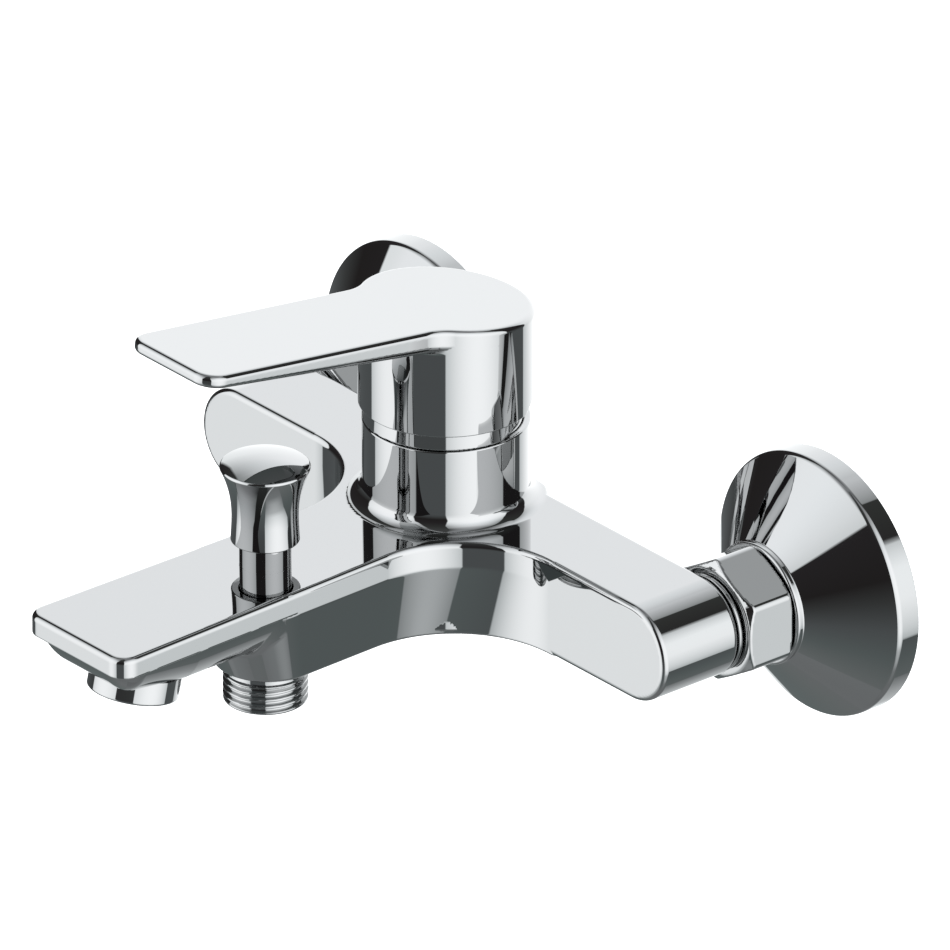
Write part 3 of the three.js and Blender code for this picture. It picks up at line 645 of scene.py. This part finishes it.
def casting_piece():
    """The cast body. Its grid has finer (start, end, step) zones at the edges."""
    zones = [
        [(-26, -15, 0.35), (15, 26, 0.35)],
        [(TIP_Y - 1, TIP_Y + 2, 0.25), (-84, -35, 0.4), (ARM_FRONT - 1, ARM_FRONT + 1.5, 0.25)],
        [(-15, -12, 0.3), (5.5, 7, 0.3), (10, 13.5, 0.2), (33, 35, 0.2)],
    ]
    grid = [
        levels(low - GRID_MARGIN, high + GRID_MARGIN, BODY_STEP, zone)
        for low, high, zone in zip(BODY_LOW, BODY_HIGH, zones)
    ]
    stands_for(new_piece("polished_body", *skin(body_casting, grid)), "body_casting")


def handle_piece():
    """The handle, with finer zones at its edges too."""
    zones = [
        [(-22.5, -21, 0.3), (-16.5, -13, 0.3), (13, 16.5, 0.3), (21, 22.5, 0.3)],
        [(HANDLE_LOW[1] - 1, HANDLE_LOW[1] + 2, 0.3)],
        [(HUB_LOW - 1, HUB_LOW + 2, 0.3), (HUB_STEP_Z - 0.7, HUB_STEP_Z + 0.7, 0.15), (60, 79, 0.35)],
    ]
    grid = [
        levels(low - GRID_MARGIN, high + GRID_MARGIN, HANDLE_STEP, zone)
        for low, high, zone in zip(HANDLE_LOW, HANDLE_HIGH, zones)
    ]
    stands_for(new_piece("polished_handle", *skin(handle, grid)), "handle")


def nut_pieces():
    """One nut shape, placed on both inlet axes."""
    reach = NUT_CORNER + 1
    spans = ((-reach, reach), (-NUT_FRONT - 1, -NUT_BACK + 1), (-reach, reach))
    grid = [levels(low, high, NUT_STEP) for low, high in spans]
    shape = skin(union_nut, grid)
    for name, side in (("left", -1), ("right", 1)):
        place = Matrix.Translation((side * INLET_X, 0, 0))
        stands_for(new_piece(f"{name}_polished_nut", *shape, place), f"{name}_union_nut")


KNOB_RIM = 38.8  # height of the rim under the dome
KNOB_WAIST_R, KNOB_WAIST_Z = 8.22, 25.0
KNOB_FOOT_SPREAD, KNOB_FOOT_POWER = 0.28, 1.5
KNOB_FLARE_SPREAD, KNOB_FLARE_POWER, KNOB_FLARE_TOP = 2.95, 2.2, KNOB_RIM - 0.4
KNOB_DOME_R, KNOB_DOME_RISE = 10.9, 2
KNOB_CROWN_R = 11.2**2 / (2 * KNOB_DOME_RISE) + KNOB_DOME_RISE / 2  # radius of the dome's arc


def knob_profile():
    """Waisted outline: foot, flare and shallow dome, with a blind hole for the rod."""

    def foot(z):
        below = (KNOB_WAIST_Z - z) / (KNOB_WAIST_Z - KNOB_BASE)
        return KNOB_WAIST_R + KNOB_FOOT_SPREAD * below**KNOB_FOOT_POWER

    def flare(z):
        above = (z - KNOB_WAIST_Z) / (KNOB_FLARE_TOP - KNOB_WAIST_Z)
        return KNOB_WAIST_R + KNOB_FLARE_SPREAD * above**KNOB_FLARE_POWER

    def dome(angle):
        drop = KNOB_CROWN_R * (1 - math.cos(angle))
        return KNOB_CROWN_R * math.sin(angle), KNOB_RIM + KNOB_DOME_RISE - drop

    foot_z = np.linspace(KNOB_BASE, KNOB_WAIST_Z, 9)
    flare_z = np.linspace(KNOB_WAIST_Z, KNOB_FLARE_TOP, 27)[1:]
    dome_angles = np.linspace(math.asin(KNOB_DOME_R / KNOB_CROWN_R), 0, 13)
    hole = [(0, 36.5), (2.8, 36.5, 0.1), (2.8, 33.5, 0.1), (6.67, 33.5, 0.1), (6.67, KNOB_BASE, 0.2)]
    lower = [(foot(KNOB_BASE), KNOB_BASE, 0.4)] + [(foot(z), z, SMOOTH) for z in foot_z[1:]]
    upper = [(flare(z), z, SMOOTH) for z in flare_z[:-1]]
    upper.append((flare(KNOB_FLARE_TOP), KNOB_FLARE_TOP, 0.5))
    top = [(*dome(dome_angles[0]), 0.5)] + [(*dome(angle), SMOOTH) for angle in dome_angles[1:]]
    return hole + lower + upper + top


SHOWER_THREAD_R, SHOWER_THREAD_END = 10.45, -16.7
DOME_OUTER_R, DOME_INNER_R, DOME_REACH = 18, 16.4, 36 * DEGREE


def dome_arc(radius):
    """Arc about the lever's pivot, so that the hub can tip over it."""
    angles = np.linspace(0.02, DOME_REACH, 12)
    return [(radius * math.cos(a), PIVOT[2] + radius * math.sin(a), SMOOTH) for a in angles]


def turned_pieces():
    """Round pieces on the diverter's, the tower's, the aerator's and the grub screw's axes."""
    diverter = upright(DIVERTER_Y)
    turned_piece("diverter_knob", knob_profile(), diverter, closed=False)
    sleeve = [(5, 7.2), (6.37, 7.2), (6.37, 31.5), (2.8, 31.5, 0.1), (2.8, 28, 0.1), (5, 28, 0.1)]
    turned_piece("diverter_sleeve", sleeve, diverter)
    outlet = [
        (7.2, OUTLET_END, 0.4),
        (SHOWER_THREAD_R, OUTLET_END, 0.7),
        (SHOWER_THREAD_R, -16.6, 0.3),
        (9.85, -16.2, 0.2),
        (9.85, -14.5, 0.1),
        (9.6, -14.5, 0.05),
        (9.6, -10.3, 0.2),
        (5, -10.3, 0.2),
        (5, -11, 0.2),
        (7.2, -11, 0.1),
    ]
    thread = pipe_thread(OUTLET_END + 0.3, SHOWER_THREAD_END, SHOWER_THREAD_R)
    turned_piece("shower_outlet", outlet, diverter, thread=thread)
    dome_profile = dome_arc(DOME_OUTER_R) + dome_arc(DOME_INNER_R)[::-1]
    turned_piece("dome_cover", dome_profile, upright(TOWER_Y))
    ring_nut = [(13.4, 30.3), (18.6, 30.3), (18.6, 34), (15.6, 34), (15.6, 38), (13.4, 38)]
    turned_piece("cartridge_retaining_nut", ring_nut, upright(TOWER_Y))
    nozzle = [
        (8.6, 0, 0.3),
        (AERATOR_R, 0, 0.7),
        (AERATOR_R, 6.2, 0.3),
        (10.3, 6.2, 0.2),
        (10.3, 11.5),
        (9.3, 11.5),
        (9.3, 1.2, 0.1),
        (8.6, 1.2, 0.2),
    ]
    tilt = Matrix.Translation((0, AERATOR_Y, AERATOR_Z)) @ Matrix.Rotation(-AERATOR_TILT, 4, "X")
    turned_piece("aerator_housing", nozzle, tilt)
    cap = [(0, 19.6), (2.5, 19.6, 0.1), (2.5, 21.3, 0.4), (0, 21.5)]
    place = Matrix.Translation((0, TOWER_Y, SCREW_Z)) @ Matrix.Rotation(-math.pi / 2, 4, "X")
    turned_piece("grub_screw_cap", cap, place, closed=False, around=48)


TAIL_OFFSET = 6.5  # throw of the eccentric union
TAIL_R = 10.3


def wall_union_pieces(name, side):
    """Wall plate, inlet bush and eccentric union, by their distance from the wall."""
    place = from_wall(side)
    plate = [
        (33.8, 0, 0.2),
        (33.8, 6.1, 2.0),
        (15.6, 21.2, 0.5),
        (15.6, 23, 0.8),
        (12.3, 23, 0.3),
        (12.3, 20.05, 0.3),
        (15.2, 19.6, 0.5),
        (32.3, 5.0, 0.8),
        (32.3, 0, 0.2),
    ]
    turned_piece(f"{name}_escutcheon", plate, place, around=192)
    bush = [
        (7, 30),
        (11.8, 30),
        (11.8, 33),
        (10.2, 33),
        (10.2, NUT_FRONT + 0.3),
        (12.4, NUT_FRONT + 0.3, 0.6),
        (12.4, 38.8),
        (8.9, 38.8),
        (8.9, 52.6),
        (7, 52.6),
    ]
    turned_piece(f"{name}_inlet_bush", bush, place)
    barrel = [(8.5, 5.2), (4, 5.2, 0.1), (4, 4, 0.1), (12, 4, 0.8), (12, 27.7, 0.4), (8.5, 27.7, 0.3)]
    tail = [(7, -15, 0.4), (TAIL_R, -15, 0.6), (TAIL_R, 5, 0.2), (7, 5, 0.2)]
    front = turned(barrel)
    back = turned(tail, thread=pipe_thread(-14.6, 3, TAIL_R))
    points = np.concatenate([front[0], back[0] - (0, TAIL_OFFSET, 0)])
    faces = front[1] + [[index + len(front[0]) for index in face] for face in back[1]]
    normals = np.concatenate([front[2], back[2]])
    piece = new_piece(f"{name}_threaded_union", points, faces, normals, place)
    stands_for(piece, f"{name}_eccentric_union")


# ---------------------------------------------------------------- finishes
def shader(name, color, roughness, metallic=0.0):
    """New material with its Principled node set, and that node."""
    material = bpy.data.materials.new(name)
    material.use_nodes = True
    surface = material.node_tree.nodes["Principled BSDF"]
    surface.inputs["Base Color"].default_value = (*color, 1)
    surface.inputs["Roughness"].default_value = roughness
    surface.inputs["Metallic"].default_value = metallic
    return material, surface


def noise_into(material, surface, scale, socket, low, high, stretch=(1, 1, 1)):
    """Noise in the object's own space drives one socket between two values."""
    nodes, links = material.node_tree.nodes, material.node_tree.links
    where = nodes.new("ShaderNodeTexCoord")
    mapping = nodes.new("ShaderNodeMapping")
    mapping.inputs["Scale"].default_value = stretch
    noise = nodes.new("ShaderNodeTexNoise")
    noise.inputs["Scale"].default_value = scale
    noise.inputs["Detail"].default_value = 3
    spread = nodes.new("ShaderNodeMapRange")
    spread.inputs["From Min"].default_value = 0.3
    spread.inputs["From Max"].default_value = 0.7
    spread.inputs["To Min"].default_value = low
    spread.inputs["To Max"].default_value = high
    links.new(where.outputs["Object"], mapping.inputs["Vector"])
    links.new(mapping.outputs["Vector"], noise.inputs["Vector"])
    links.new(noise.outputs["Fac"], spread.inputs["Value"])
    links.new(spread.outputs["Result"], surface.inputs[socket])


CHROME = (0.45, 0.456, 0.458)


def chrome():
    material, surface = shader("polished_chrome", CHROME, 0.03, 1)
    noise_into(material, surface, 90, "Roughness", 0.01, 0.03)
    return material


def machined(name, color, roughness):
    """Turned metal: fine rings of brighter and duller metal."""
    material, surface = shader(name, color, roughness, 1)
    noise_into(material, surface, 400, "Roughness", roughness * 0.7, roughness * 1.3, (1, 1, 6))
    return material


def moulded(name, color, roughness):
    material, surface = shader(name, color, roughness)
    noise_into(material, surface, 900, "Roughness", roughness * 0.85, roughness * 1.15)
    return material


FINISH = {
    "chrome": chrome(),
    "brass": machined("turned_brass", (0.62, 0.46, 0.22), 0.28),
    "steel": machined("drawn_steel", (0.6, 0.6, 0.61), 0.25),
    "ceramic": moulded("lapped_ceramic", (0.86, 0.85, 0.8), 0.22),
    "plastic": moulded("white_acetal", (0.78, 0.78, 0.75), 0.4),
    "dark_plastic": moulded("grey_plug", (0.09, 0.095, 0.1), 0.4),
    "rubber": moulded("black_rubber", (0.02, 0.02, 0.02), 0.7),
}


LOW_END, HIGH_END = 0, 1
SPRINGS = (
    ("diverter_spring", "diverter_pull", HIGH_END),
    ("check_valve_spring", "check_valve_open", LOW_END),
)


def spring_pieces():
    """Both return springs, as smooth-shaded copies of their CAD meshes on the nodes' bodies."""
    for node, joint, fixed in SPRINGS:
        piece = bpy.data.objects.new("coiled_" + node, frame["nodes"][node].data.copy())
        bpy.context.scene.collection.objects.link(piece)
        piece.data.materials.clear()
        piece.data.shade_smooth()
        stands_for(piece, node)
        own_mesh(piece)


def dress_cad_nodes():
    """Every CAD node that still shows takes its slot's finish."""
    for name, node in frame["nodes"].items():
        if not node.hide_render:
            node.data.materials.clear()
            node.data.materials.append(FINISH[SLOT_OF[name]])


# ---------------------------------------------------------------- studio
CARD_SOFTNESS = 0.8  # degrees
# Three tall soft white cards stand round the object: brightness, middle azimuth, then the
# azimuths of their left and right edges by elevation.
CARDS = (
    (
        0.875,
        208,
        [(-40, 170), (15, 168), (28, 171), (39, 178), (46, 184), (50, 184), (52, 168), (75, 150)],
        [(-60, 236), (-27, 239), (15, 246), (33, 249), (45, 253), (52, 256), (75, 268)],
    ),
    (
        0.96,
        -27,
        [(-60, -62), (15, -66), (28, -71), (39, -73), (46, -74), (52, -78), (75, -92)],
        [(-60, 3), (-20, 6), (10, 8), (27, 8), (33, 12), (45, 14), (75, 16)],
    ),
    (
        1.0,
        90,
        [(-60, 53), (-30, 49), (10, 52), (45, 49), (57, 52), (75, 58)],
        [(-60, 116), (-45, 120), (-33, 134), (0, 134), (33, 134), (45, 138), (57, 145), (75, 150)],
    ),
)
CARD_MIDDLE = [
    (-74, (98, 100, 101)),
    (-61, (108, 111, 112)),
    (-53, (150, 153, 154)),
    (-43, (168, 171, 172)),
    (-38, (210, 213, 214)),
    (-27, (239, 240, 241)),
    (8, (245, 246, 247)),
    (28, (242, 243, 245)),
    (39, (224, 227, 229)),
    (51, (204, 206, 208)),
    (60, (162, 163, 165)),
    (72, (126, 128, 130)),
]
CARD_SIDE = [
    (-74, (98, 100, 101)),
    (-50, (108, 111, 112)),
    (-38, (150, 154, 155)),
    (-27, (186, 190, 191)),
    (-5, (224, 226, 227)),
    (16, (226, 229, 230)),
    (33, (188, 191, 192)),
    (48, (136, 139, 140)),
    (57, (134, 137, 137)),
    (66, (66, 68, 68)),
]
ROOM = [
    (-74, (98, 100, 101)),
    (-63, (91, 95, 95)),
    (-45, (78, 84, 84)),
    (-27, (69, 72, 73)),
    (-10, (49, 50, 50)),
    (2, (31, 29, 29)),
    (25, (35, 33, 34)),
    (50, (45, 46, 45)),
    (75, (58, 59, 59)),
]


def linear(byte):
    """Linear light of an sRGB value."""
    part = byte / 255
    return part / 12.92 if part < 0.04045 else ((part + 0.055) / 1.055) ** 2.4


class Studio:
    """The world's node tree, with short calls for its arithmetic."""

    def __init__(self):
        made = bpy.data.worlds.new("studio")
        bpy.context.scene.world = made
        made.use_nodes = True
        self.nodes, self.links = made.node_tree.nodes, made.node_tree.links
        where = self.nodes.new("ShaderNodeTexCoord").outputs["Generated"]
        axes = self.nodes.new("ShaderNodeSeparateXYZ")
        self.links.new(where, axes.inputs[0])
        x, y, z = axes.outputs
        self.azimuth = self.math("DEGREES", self.math("ARCTAN2", x, self.math("MULTIPLY", y, -1)))
        self.elevation = self.math("DEGREES", self.math("ARCSINE", z))

    def feed(self, socket, value):
        if isinstance(value, (int, float)):
            socket.default_value = value
        else:
            self.links.new(value, socket)

    def math(self, operation, *values):
        node = self.nodes.new("ShaderNodeMath")
        node.operation = operation
        for socket, value in zip(node.inputs, values):
            self.feed(socket, value)
        return node.outputs[0]

    def ramp(self, stops):
        """Colour by elevation, from (degrees, colour) stops."""
        node = self.nodes.new("ShaderNodeValToRGB")
        self.feed(node.inputs["Fac"], self.math("MULTIPLY_ADD", self.elevation, 1 / 180, 0.5))
        elements = node.color_ramp.elements
        for place in range(1, len(stops) - 1):
            elements.new(place / len(stops))
        for element, (degrees, color) in zip(elements, stops):
            element.position = degrees / 180 + 0.5
            element.color = (*color, 1)
        return node.outputs["Color"]

    def shade(self, stops):
        return self.ramp([(degrees, [linear(v) for v in color]) for degrees, color in stops])

    def edge(self, stops):
        """Azimuth of a card's edge by elevation."""
        grey = self.ramp([(degrees, [(azimuth + 180) / 540] * 3) for degrees, azimuth in stops])
        return self.math("MULTIPLY_ADD", grey, 540, -180)

    def scaled(self, color, factor):
        node = self.nodes.new("ShaderNodeVectorMath")
        node.operation = "SCALE"
        self.links.new(color, node.inputs[0])
        node.inputs["Scale"].default_value = factor
        return node.outputs[0]

    def mix(self, share, a, b):
        node = self.nodes.new("ShaderNodeMix")
        node.data_type = "RGBA"
        self.feed(node.inputs["Factor"], share)
        for name, value in (("A", a), ("B", b)):
            socket = next(s for s in node.inputs if s.name == name and s.type == "RGBA")
            self.links.new(value, socket)
        return next(s for s in node.outputs if s.type == "RGBA")


def world():
    """The chrome reflects a dark room with three white cards. The camera sees plain white."""
    studio = Studio()
    card_middle, card_side, light = [studio.shade(stops) for stops in (CARD_MIDDLE, CARD_SIDE, ROOM)]
    for brightness, middle_azimuth, left_stops, right_stops in CARDS:
        left, right = studio.edge(left_stops), studio.edge(right_stops)
        turn = studio.math("WRAP", studio.azimuth, middle_azimuth + 180, middle_azimuth - 180)
        past_left = studio.math("SUBTRACT", turn, left)
        past_right = studio.math("SUBTRACT", right, turn)
        inside = studio.nodes.new("ShaderNodeMapRange")
        studio.feed(inside.inputs["Value"], studio.math("MINIMUM", past_left, past_right))
        studio.feed(inside.inputs["From Min"], -CARD_SOFTNESS)
        studio.feed(inside.inputs["From Max"], CARD_SOFTNESS)
        off = studio.math("SUBTRACT", past_left, past_right)
        share = studio.math("DIVIDE", off, studio.math("SUBTRACT", right, left))
        towards_edge = studio.math("POWER", studio.math("ABSOLUTE", share), 2)
        card = studio.mix(towards_edge, card_middle, card_side)
        light = studio.mix(inside.outputs["Result"], light, studio.scaled(card, brightness))
    reflected = studio.scaled(light, 1 / CHROME[1])
    seen = studio.nodes.new("ShaderNodeLightPath").outputs["Is Camera Ray"]
    white = studio.nodes.new("ShaderNodeRGB")
    white.outputs[0].default_value = (1, 1, 1, 1)
    background = studio.nodes["Background"]
    studio.links.new(studio.mix(seen, reflected, white.outputs[0]), background.inputs["Color"])


def floor():
    """Pale floor that neither the chrome nor the other pieces pick up."""
    reach, low = 8.0, -0.9
    corners = [(-reach, -reach, low), (reach, -reach, low), (reach, reach, low), (-reach, reach, low)]
    mesh = bpy.data.meshes.new("floor")
    mesh.from_pydata(corners, [], [(0, 1, 2, 3)])
    made = bpy.data.objects.new("floor", mesh)
    bpy.context.scene.collection.objects.link(made)
    material, surface = shader("pale_floor", (0.9, 0.9, 0.9), 0.9)
    surface.inputs["Emission Color"].default_value = (1, 1, 1, 1)
    surface.inputs["Emission Strength"].default_value = 1
    made.data.materials.append(material)
    made.visible_glossy = False
    made.visible_diffuse = False


AZIMUTH, ELEVATION = 50.009 * DEGREE, 26.688 * DEGREE
CAMERA_FAR = 9.0
AIM = Vector((0, -0.070, 0.020))
AIM_RIGHT, AIM_UP = 0.015947, 0.001188
VIEW_WIDTH = 0.2308


def camera():
    """Nearly parallel view from ahead, the right and above."""
    back = Vector(
        (
            math.sin(AZIMUTH) * math.cos(ELEVATION),
            -math.cos(AZIMUTH) * math.cos(ELEVATION),
            math.sin(ELEVATION),
        )
    )
    right = Vector((math.cos(AZIMUTH), math.sin(AZIMUTH), 0))
    up = back.cross(right)
    lens = bpy.data.cameras.new("camera")
    lens.lens = lens.sensor_width * CAMERA_FAR / VIEW_WIDTH
    lens.clip_start, lens.clip_end = 0.1, 100
    made = bpy.data.objects.new("camera", lens)
    bpy.context.scene.collection.objects.link(made)
    made.location = AIM + AIM_RIGHT * right + AIM_UP * up + CAMERA_FAR * back
    made.rotation_euler = Matrix((right, up, back)).transposed().to_euler()
    bpy.context.scene.camera = made


casting_piece()
handle_piece()
nut_pieces()
turned_pieces()
for wall_side in (("left", -1), ("right", 1)):
    wall_union_pieces(*wall_side)
spring_pieces()
dress_cad_nodes()
world()
floor()
camera()
bpy.context.scene.view_settings.view_transform = "Standard"
